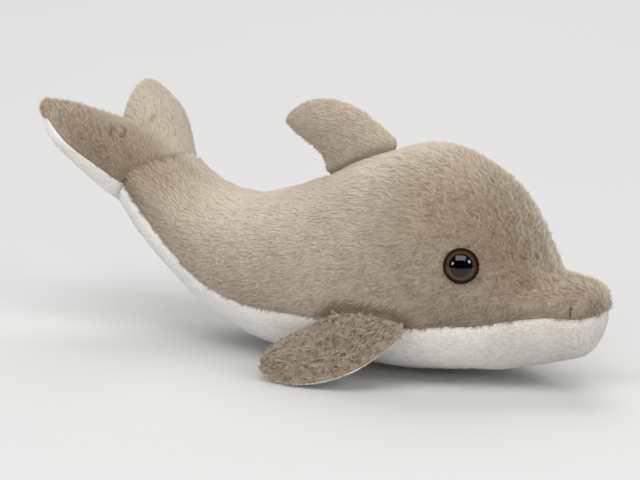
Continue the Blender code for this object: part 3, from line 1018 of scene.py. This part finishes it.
@functools.cache
def flipper_sheets():
    """The right flipper's top and underside, then the left one's."""
    # The tops are painted darker, as their nap turns from the light, with painted backlight glow
    # at their tips
    top = fin_skin("flipper_top", flipper(), 12, 192, 0.015, 0.6, 31, 0.78, 0.35, 22)
    under = fin_skin("flipper_under", flipper(), 12, -168, -0.015, 0.5, 32, 1.0, 0.0, 22)
    return top, under, mirrored(top), mirrored(under)


class DOLPHIN_OT_body(bpy.types.Operator):
    """Sew the two back panels and the belly panel, with their pile"""

    bl_idname = "dolphin.body"
    bl_label = "Body"

    def execute(self, context):
        taupe, white = plush_finishes()
        back, other_back, belly = body_sheets()
        panels = (
            ("back_panel_right", back, TAUPE_PILE, 101, taupe, "taupe_plush"),
            ("back_panel_left", other_back, TAUPE_PILE, 102, taupe, "taupe_plush"),
            ("belly_panel", belly, WHITE_PILE, 103, white, "white_plush"),
        )
        add_panels(panels, dorsal_sheets() + flipper_sheets())
        return {"FINISHED"}


# Fins
def fin_point(fin, lengthways, angle, depth):
    """Points of a fin: angle 0 is its front edge, 90 its outer side and 180 its rear edge."""
    t = lengthways * (1 - depth / fin.span)
    front, rear = fin.front(t), fin.rear(t)
    turn = np.radians(angle)
    chord = np.linalg.norm(front - rear, axis=-1) / 2
    reach = np.maximum(chord - depth, 0.2 * MM) / chord * np.cos(turn)
    thick = np.maximum(fin.half_thickness(t) - depth, 0.1 * MM) * np.sin(turn)
    free = (front + rear) / 2 + (front - rear) / 2 * reach[..., None]
    free = free + fin.outward * thick[..., None]
    blend = np.minimum(t / 0.35, 1.0)
    blend = (blend * blend * (3 - 2 * blend))[..., None]
    sunk = FOOT_SINK * np.exp(-((t / 0.06) ** 2)) - CLEARANCE
    return fin.foot(angle, sunk) * (1 - blend) + free * blend


def dorsal_fin():
    """The dorsal fin, standing on the back seam."""
    middle = DORSAL_FRONT - DORSAL_LENGTH / 2
    base_front = body_surface(DORSAL_FRONT, 90.0)
    base_rear = body_surface(DORSAL_FRONT - DORSAL_LENGTH, 90.0)
    back = unit(base_rear - base_front)
    up = np.array((back[2], 0.0, -back[0]))

    def foot(angle, depth):
        """Where the fin meets the back, at an angle round its section."""
        across = (DORSAL_THICKNESS / 2 - depth) * np.sin(np.radians(angle))
        along = middle + (DORSAL_LENGTH / 2 - depth) * np.cos(np.radians(angle))
        tilt = np.degrees(np.arcsin(across / station_at(along)[..., 4]))
        return body_surface(along, 90 - tilt, depth)

    def edge(points):
        """A curve from the fin's foot to its tip."""
        ends = [base_front + back * a * DORSAL_REACH + up * b * DORSAL_HEIGHT for a, b in points]
        return lambda t: bezier(ends, t)

    return Fin(
        foot,
        edge(DORSAL_FRONT_EDGE),
        edge(DORSAL_REAR_EDGE),
        np.array((0.0, -1.0, 0.0)),
        lambda t: DORSAL_THICKNESS / 2 * (1 - 0.3 * t) * np.sqrt(1 - t**6),
        DORSAL_HEIGHT,
    )


def flipper():
    """The right flipper, splayed out and swept back."""
    middle = FLIPPER_FRONT - FLIPPER_LENGTH / 2
    base_front = body_surface(FLIPPER_FRONT, float(FLIPPER_ANGLE), -FLIPPER_STANDOFF)
    splay = math.radians(FLIPPER_SPLAY)
    back = np.array((-1.0, 0.0, 0.0))
    down = np.array((0.0, -math.sin(splay), -math.cos(splay)))

    def foot(angle, depth):
        """Where the flipper meets the side, at an angle round its section."""
        along = middle + (FLIPPER_LENGTH / 2 - depth) * np.cos(np.radians(angle))
        up = (FLIPPER_THICKNESS / 2 - depth) * np.sin(np.radians(angle))
        tilt = np.degrees(up / station_at(along)[..., 3])
        return body_surface(along, FLIPPER_ANGLE + tilt, depth)

    def edge(points):
        """A curve from the flipper's foot to its tip."""
        ends = [base_front + back * a * FLIPPER_REACH + down * b * FLIPPER_SPAN for a, b in points]
        return lambda t: bezier(ends, t)

    return Fin(
        foot,
        edge(FLIPPER_FRONT_EDGE),
        edge(FLIPPER_REAR_EDGE),
        np.cross(back, down),
        lambda t: FLIPPER_THICKNESS / 2 * (1 - 0.2 * t) * np.sqrt(1 - t**6),
        FLIPPER_REACH,
    )


def tip_rows(count, over):
    """Shares of a fin's length, closer together at its tip, ending so far over or short of it."""
    rows = np.sin(np.linspace(0, math.pi / 2, count)) ** 1.2
    if over < 0:
        return rows * (1 + over)
    return np.append(rows, 1 + over * np.linspace(0, 1, 5)[1:] ** 2)


def filled_side(name, places, outward):
    """One side of a fin after its filling has pushed it out, and how far along its points are."""
    settings = bpy.context.scene.dolphin_skin
    start, _, one, other = rim_distances(places)
    rim = np.exp(-((np.minimum(np.minimum(one, other), start) / settings.seam_reach) ** 2))
    held = rim.copy()
    held[0] = held[-1] = held[:, 0] = held[:, -1] = 1.0
    slack = (settings.slack * (1 - rim))[..., None]
    return filled(name, places - outward * slack, outward, held), start


def fin_skin(
    name, fin, first, last, over, turn, seed, shade=1.0, backlit_tip=0.0, foot_turn=0, furrow=1.0
):
    """One side of a fin, from one angle round its section to another, ending over its tip.

    Its first edge starts that much further round at the foot.
    """
    settings = bpy.context.scene.dolphin_skin
    share = 0.5 - 0.5 * np.cos(np.linspace(0, math.pi, 22))
    lengthways, across = np.meshgrid(tip_rows(30, over), share, indexing="ij")
    start_angle = first - foot_turn * (1 - eased(lengthways, 0.12, 0.4))
    angle = start_angle + (last - start_angle) * across
    depth = np.full(angle.shape, settings.pile_rise)
    folded = np.where(lengthways > 1, -angle, angle)
    lengthways = np.minimum(lengthways, 2 - lengthways)
    places = fin_point(fin, lengthways, folded, depth)
    outward = fin.outward * (1.0 if math.sin(math.radians((first + last) / 2)) > 0 else -1.0)
    outward = np.broadcast_to(outward, places.shape)
    places, start = filled_side(name, places, outward)
    # Painted shade: darker at the foot, where the body overhangs it, and a little darker towards
    # the last edge
    level = shade * (1 - 0.35 * np.exp(-((start / (2 * MM)) ** 2))) * (1 - 0.12 * across)
    # Painted backlight glow at the tip
    warm = backlit_tip * lengthways**4
    return finish_sheet(places, outward, turn, seed, level, warm, furrow, (0.5, 0.8))


class DOLPHIN_OT_dorsal_fin(bpy.types.Operator):
    """Sew the two sides of the dorsal fin, with their pile"""

    bl_idname = "dolphin.dorsal_fin"
    bl_label = "Dorsal Fin"

    def execute(self, context):
        taupe, _ = plush_finishes()
        right, left = dorsal_sheets()
        panels = (
            ("dorsal_fin_right", right, TAUPE_PILE, 111, taupe, "taupe_plush"),
            ("dorsal_fin_left", left, TAUPE_PILE, 112, taupe, "taupe_plush"),
        )
        add_panels(panels, body_sheets())
        return {"FINISHED"}


class DOLPHIN_OT_flippers(bpy.types.Operator):
    """Sew the tops and undersides of both flippers, with their pile"""

    bl_idname = "dolphin.flippers"
    bl_label = "Flippers"

    def execute(self, context):
        taupe, white = plush_finishes()
        top, under, other_top, other_under = flipper_sheets()
        panels = (
            ("flipper_right_top", top, FLIPPER_PILE, 121, taupe, "taupe_plush"),
            ("flipper_right_underside", under, FRINGE_PILE, 122, white, "white_plush"),
            ("flipper_left_top", other_top, FLIPPER_PILE, 123, taupe, "taupe_plush"),
            ("flipper_left_underside", other_under, FRINGE_PILE, 124, white, "white_plush"),
        )
        add_panels(panels, body_sheets())
        return {"FINISHED"}


# Flukes
def fluke_point(lengthways, angle, depth):
    """Points of the flukes: angle 0 is their right edge, 90 their upper side."""
    forward, lift = spine_direction(np.array(0.0))
    origin = station_at(np.array(0.0))
    outward = np.array((-forward, 0.0, -lift))
    up = np.array((-lift, 0.0, forward))
    shares, ends = np.array(FLUKE_OUTLINE, float).T
    reached, widths = np.array(FLUKE_WIDENING, float).T
    turn = np.radians(angle)
    share, above = np.cos(turn), np.sin(turn)
    t = lengthways
    end = MM * smooth_between(shares, ends, np.gradient(ends, shares), np.abs(share))
    out = (end - depth + MM) * t - MM
    wide = smooth_between(reached, widths, np.gradient(widths, reached), t)
    half_width = origin[4] + (FLUKE_HALF_SPAN - origin[4]) * wide - depth
    blend = (1 - t) ** 3
    root = np.where(above > 0, origin[2], origin[3])
    lobe = np.where(above > 0, FLUKE_RISE, FLUKE_DROP)
    full = root * blend + lobe * (1 - blend)
    fullness = 2 + np.where(above > 0, 1.5, 4.0) * t
    rounding = np.sign(above) * np.sqrt(1 - np.minimum(np.abs(share), 1) ** fullness)
    height = np.maximum(full * np.sqrt(1 - t**4) - depth, 0.1 * MM) * rounding
    rim = -origin[5] * (1 - t) ** 2 * share * share
    middle = np.stack((origin[0] + 0 * out, -share * half_width, origin[1] + 0 * out), axis=-1)
    return middle + outward * out[..., None] + up * (height + rim)[..., None], up


def fluke_skin(name, first, last, over, turn, seed, near_level, far_level, warm):
    """One side of the flukes, from one angle round their section to another."""
    settings = bpy.context.scene.dolphin_skin
    share = np.linspace(0, 1, 60)
    lengthways, across = np.meshgrid(tip_rows(30, over), share, indexing="ij")
    angle = first + (last - first) * across
    folded = np.where(lengthways > 1, -angle, angle)
    lengthways = np.minimum(lengthways, 2 - lengthways)
    # Its first rows are tucked under the body's pile, the upper side's more sharply
    tuck, reach = (1.7 * MM, 0.03) if last > 0 else (1.2 * MM, 0.07)
    depth = settings.pile_rise + tuck * np.exp(-((lengthways / reach) ** 2))
    places, up = fluke_point(lengthways, folded, depth)
    facing = np.sign(math.sin(math.radians((first + last) / 2)))
    outward = np.broadcast_to(up * facing, places.shape)
    places, start = filled_side(name, places, outward)
    side = np.cos(np.radians(angle))
    # Painted light and shade: the near one's nap lies away from the light and is painted darker,
    # the far one's towards it and is painted lighter
    far = eased(-side, -0.25, 0.3)
    # Painted lighter towards the lobes' tips
    level = near_level * (1 + 0.2 * eased(lengthways, 0.5, 0.95))
    level = level * (1 - far) + far_level * far
    furrow = 0.2 + 0.6 * eased(side, 0.2, 0.75)
    # Painted shade in the crease along the tail stitch line
    level = level * (1 - 0.28 * np.exp(-((start / (1.8 * MM)) ** 2)))
    # Painted backlight glow at the lobes' tips
    tips = np.abs(side) * lengthways
    return finish_sheet(places, outward, turn, seed, level, warm * tips**6, furrow, (0.1, 0.8))


class DOLPHIN_OT_flukes(bpy.types.Operator):
    """Sew the upper side and the underside of the tail flukes, with their pile"""

    bl_idname = "dolphin.flukes"
    bl_label = "Flukes"

    def execute(self, context):
        taupe, white = plush_finishes()
        top = fluke_skin("fluke_top", -2, 182, 0.02, 0.0, 41, 0.59, 0.9, 0.2)
        under = fluke_skin("fluke_under", -2, -178, -0.02, 0.0, 42, 1.0, 1.0, 0.0)
        add_panels((
            ("fluke_top", top, TAUPE_PILE, 131, taupe, "taupe_plush"),
            ("fluke_underside", under, FIN_WHITE_PILE, 132, white, "white_plush"),
        ))
        return {"FINISHED"}


# Eyes
def eye_object(name, side, sink, finish):
    """A dome with its rim and shank, turned about its own axis and set into the head."""
    radius = EYE_RADIUS
    rise = EYE_DOME - EYE_RIM
    ball = (radius * radius + rise * rise) / (2 * rise)
    widest = math.asin(radius / ball)
    turns = [widest * i / DOME_RINGS for i in range(DOME_RINGS + 1)]
    profile = [(ball * math.sin(t), EYE_RIM + rise - ball * (1 - math.cos(t))) for t in turns]
    profile += [(radius, 0.3 * MM), (radius - 0.3 * MM, 0), (SHANK_RADIUS, 0)]
    profile += [(SHANK_RADIUS, -SHANK_LENGTH), (0, -SHANK_LENGTH)]
    shape = bmesh.new()
    points = [shape.verts.new((across, 0, height)) for across, height in profile]
    edges = [shape.edges.new(pair) for pair in zip(points, points[1:])]
    bmesh.ops.spin(
        shape, geom=points + edges, cent=(0, 0, 0), axis=(0, 0, 1), angle=math.tau,
        steps=EYE_STEPS, use_merge=True,
    )
    bmesh.ops.remove_doubles(shape, verts=shape.verts, dist=0.005 * MM)
    bmesh.ops.recalc_face_normals(shape, faces=shape.faces)
    rings = [math.hypot(vertex.co.x, vertex.co.y) / radius for vertex in shape.verts]
    flip = (1.0, side, 1.0)
    normal = Vector(body_normal(EYE_ALONG, float(EYE_ANGLE)) * flip)
    place = Vector(body_surface(EYE_ALONG, float(EYE_ANGLE), sink) * flip)
    turn = normal.to_track_quat("Z", "Y").to_matrix().to_4x4()
    turn.translation = place
    bmesh.ops.transform(shape, matrix=turn, verts=shape.verts)
    mesh = bpy.data.meshes.new(name)
    shape.to_mesh(mesh)
    shape.free()
    mesh.shade_smooth()
    mesh.set_sharp_from_angle(angle=math.radians(40))
    add_values(mesh, "ring", rings)
    mesh.materials.append(finish)
    thing = bpy.data.objects.new(name, mesh)
    bpy.context.scene.collection.objects.link(thing)
    return thing


class DOLPHIN_OT_eyes(bpy.types.Operator):
    """Set the two safety eyes into the head"""

    bl_idname = "dolphin.eyes"
    bl_label = "Eyes"

    def execute(self, context):
        acrylic = eye_plastic()
        eyes = (("right", 1, EYE_SINK), ("left", -1, EYE_SINK + LEFT_EYE_DEEPER))
        for word, side, sink in eyes:
            eye = eye_object(f"eye_{word}_dome", side, sink, acrylic)
            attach(eye, "root")
            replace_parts(eye, "eye_" + word)
        return {"FINISHED"}


def add_filling(node, finish):
    """Loose filling in the shape of its CAD node, drawn in from the skins and a little lumpy."""
    shape = bmesh.new()
    shape.from_mesh(node.data)
    bmesh.ops.remove_doubles(shape, verts=shape.verts, dist=0.001 * MM)
    bmesh.ops.recalc_face_normals(shape, faces=shape.faces)
    shape.normal_update()
    places = np.array([vertex.co[:] for vertex in shape.verts])
    normals = np.array([vertex.normal[:] for vertex in shape.verts])
    thin = node.name != "body_stuffing"
    drawn_in = (0.7 if thin else 1.3) * MM * (1 + 0.3 * waves(places, 12 * MM, 5))
    for vertex, place in zip(shape.verts, places - normals * drawn_in[:, None]):
        vertex.co = place
    mesh = bpy.data.meshes.new(node.name + "_fibre")
    shape.to_mesh(mesh)
    shape.free()
    mesh.shade_smooth()
    mesh.materials.append(finish)
    thing = bpy.data.objects.new(node.name + "_fibre", mesh)
    bpy.context.scene.collection.objects.link(thing)
    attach(thing, "root")
    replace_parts(thing, node.name)


class DOLPHIN_OT_filling(bpy.types.Operator):
    """Fill the skins with loose fibre and give the eyes' lock washers their finish"""

    bl_idname = "dolphin.filling"
    bl_label = "Filling and Washers"

    def execute(self, context):
        fibre, plastic = fibre_fill(), washer_plastic()
        for name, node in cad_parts.items():
            if name.endswith("stuffing"):
                add_filling(node, fibre)
            elif name.startswith("eye_washer"):
                node.data.materials.clear()
                node.data.materials.append(plastic)
        return {"FINISHED"}


# Stage
def area_light(name, place, aim, size, power, seen=True):
    """A soft light, seen in glossy surfaces or not."""
    light = bpy.data.lights.new(name, "AREA")
    light.shape = "RECTANGLE"
    light.size, light.size_y = size
    light.energy = power
    thing = bpy.data.objects.new(name, light)
    thing.location = place
    thing.rotation_euler = (aim - place).to_track_quat("-Z", "Y").to_euler()
    thing.visible_glossy = seen
    bpy.context.scene.collection.objects.link(thing)


def studio_floor():
    """Seamless paper: matt, very slightly uneven."""
    colour = bpy.context.scene.dolphin_stage.floor
    made, tree, shader = new_material("seamless_paper", Roughness=0.9, Specular_IOR_Level=0.2)
    place = add_node(tree, "ShaderNodeTexCoord").outputs["Object"]
    # Patches about a third of a metre wide
    noise = add_node(
        tree, "ShaderNodeTexNoise", {}, {"Vector": place, "Scale": 3.0}
    ).outputs["Fac"]
    level = add_node(
        tree, "ShaderNodeMapRange", {}, {"Value": noise, "To Min": 0.99, "To Max": 1.01}
    ).outputs["Result"]
    toned = add_node(
        tree, "ShaderNodeVectorMath", {"operation": "SCALE"}, {0: colour, "Scale": level}
    ).outputs[0]
    tree.links.new(toned, shader.inputs["Base Color"])
    return made


class DOLPHIN_OT_stage(bpy.types.Operator):
    """Set the floor, the soft lights and the camera"""

    bl_idname = "dolphin.stage"
    bl_label = "Stage"

    def execute(self, context):
        scene = context.scene
        stage = scene.dolphin_stage
        shape = bmesh.new()
        bmesh.ops.create_grid(shape, x_segments=4, y_segments=4, size=6.0)
        mesh = bpy.data.meshes.new("studio_floor")
        shape.to_mesh(mesh)
        shape.free()
        mesh.materials.append(studio_floor())
        floor = bpy.data.objects.new("studio_floor", mesh)
        scene.collection.objects.link(floor)

        low, high = (Vector(corner) for corner in CAD_BOX)
        aim = Vector(((low.x + high.x) / 2 - 7.2 * MM, 0, 40.5 * MM))
        turn, rise = stage.azimuth, stage.elevation
        view = Vector((
            math.sin(turn) * math.cos(rise), -math.cos(turn) * math.cos(rise), math.sin(rise)
        ))
        camera = bpy.data.cameras.new("camera")
        camera.lens = stage.lens
        camera.sensor_width = 36
        camera.clip_start = 0.01
        eye = bpy.data.objects.new("camera", camera)
        eye.location = aim + view * stage.distance
        eye.rotation_euler = view.to_track_quat("Z", "Y").to_euler()
        scene.collection.objects.link(eye)
        scene.camera = eye

        # Ways across the picture, towards the camera and up
        across = Vector((math.cos(turn), math.sin(turn), 0))
        toward = Vector((math.sin(turn), -math.cos(turn), 0))
        up = Vector((0, 0, 1))
        # The first three are the highlights in the eye
        top = aim + (up * 2.6 + toward * 1.48 - across * 0.26)
        area_light("softbox_top", top, aim, (2.86, 1.5), 48)
        left = aim + (toward * 0.6 + up * 0.4 - across * 0.8)
        area_light("softbox_left", left, aim, (0.18, 0.23), 1.6)
        right = aim + (toward * 0.7 + up * 0.62 + across * 0.75)
        area_light("softbox_right", right, aim, (0.22, 0.28), 2.5)
        behind = aim - toward * 1.6
        above = behind + up * 1.9 + across * 0.1
        area_light("softbox_back", above, behind, (2.6, 1.4), 36, seen=False)
        front = aim + toward * 2.2 + up * 0.5 + across * 0.5
        area_light("front_fill", front, aim, (2.0, 1.2), 15, seen=False)
        low_left = aim + toward * 1.0 + up * 0.25 - across * 1.6
        area_light("low_fill", low_left, aim, (1.2, 0.5), 3, seen=False)
        # The scene has its world before the world's own settings change, as Cycles expects
        world = bpy.data.worlds.new("studio")
        scene.world = world
        world.use_nodes = True
        background = world.node_tree.nodes["Background"]
        background.inputs["Color"].default_value = rgba(linear("#F6F7F8"))
        background.inputs["Strength"].default_value = 0.36
        world.cycles_visibility.glossy = False
        scene.view_settings.view_transform = "Standard"
        scene.view_settings.look = "None"
        return {"FINISHED"}


class DOLPHIN_PT_panel(bpy.types.Panel):
    """The operators and the settings, in the sidebar"""

    bl_label = "Plush Dolphin"
    bl_space_type = "VIEW_3D"
    bl_region_type = "UI"
    bl_category = "Dolphin"

    def draw(self, context):
        for operator in OPERATORS:
            self.layout.operator(operator.bl_idname)
        for settings in ("dolphin_skin", "dolphin_pile", "dolphin_eye", "dolphin_stage"):
            group = getattr(context.scene, settings)
            for name in group.__annotations__:
                self.layout.prop(group, name)


SETTINGS = (
    ("dolphin_skin", SkinSettings),
    ("dolphin_pile", PileSettings),
    ("dolphin_eye", EyeSettings),
    ("dolphin_stage", StageSettings),
)
OPERATORS = (
    DOLPHIN_OT_body,
    DOLPHIN_OT_dorsal_fin,
    DOLPHIN_OT_flippers,
    DOLPHIN_OT_flukes,
    DOLPHIN_OT_eyes,
    DOLPHIN_OT_filling,
    DOLPHIN_OT_stage,
)


def register():
    """Add the settings, the operators and the panel."""
    for name, group in SETTINGS:
        bpy.utils.register_class(group)
        setattr(bpy.types.Scene, name, bpy.props.PointerProperty(type=group))
    for operator in OPERATORS:
        bpy.utils.register_class(operator)
    bpy.utils.register_class(DOLPHIN_PT_panel)


def unregister():
    """Take them away again."""
    bpy.utils.unregister_class(DOLPHIN_PT_panel)
    for operator in reversed(OPERATORS):
        bpy.utils.unregister_class(operator)
    for name, group in reversed(SETTINGS):
        delattr(bpy.types.Scene, name)
        bpy.utils.unregister_class(group)


def main():
    """Build the dolphin and its stage."""
    register()
    bpy.ops.dolphin.body()
    bpy.ops.dolphin.dorsal_fin()
    bpy.ops.dolphin.flippers()
    bpy.ops.dolphin.flukes()
    bpy.ops.dolphin.eyes()
    bpy.ops.dolphin.filling()
    bpy.ops.dolphin.stage()


if __name__ == "__main__":
    main()
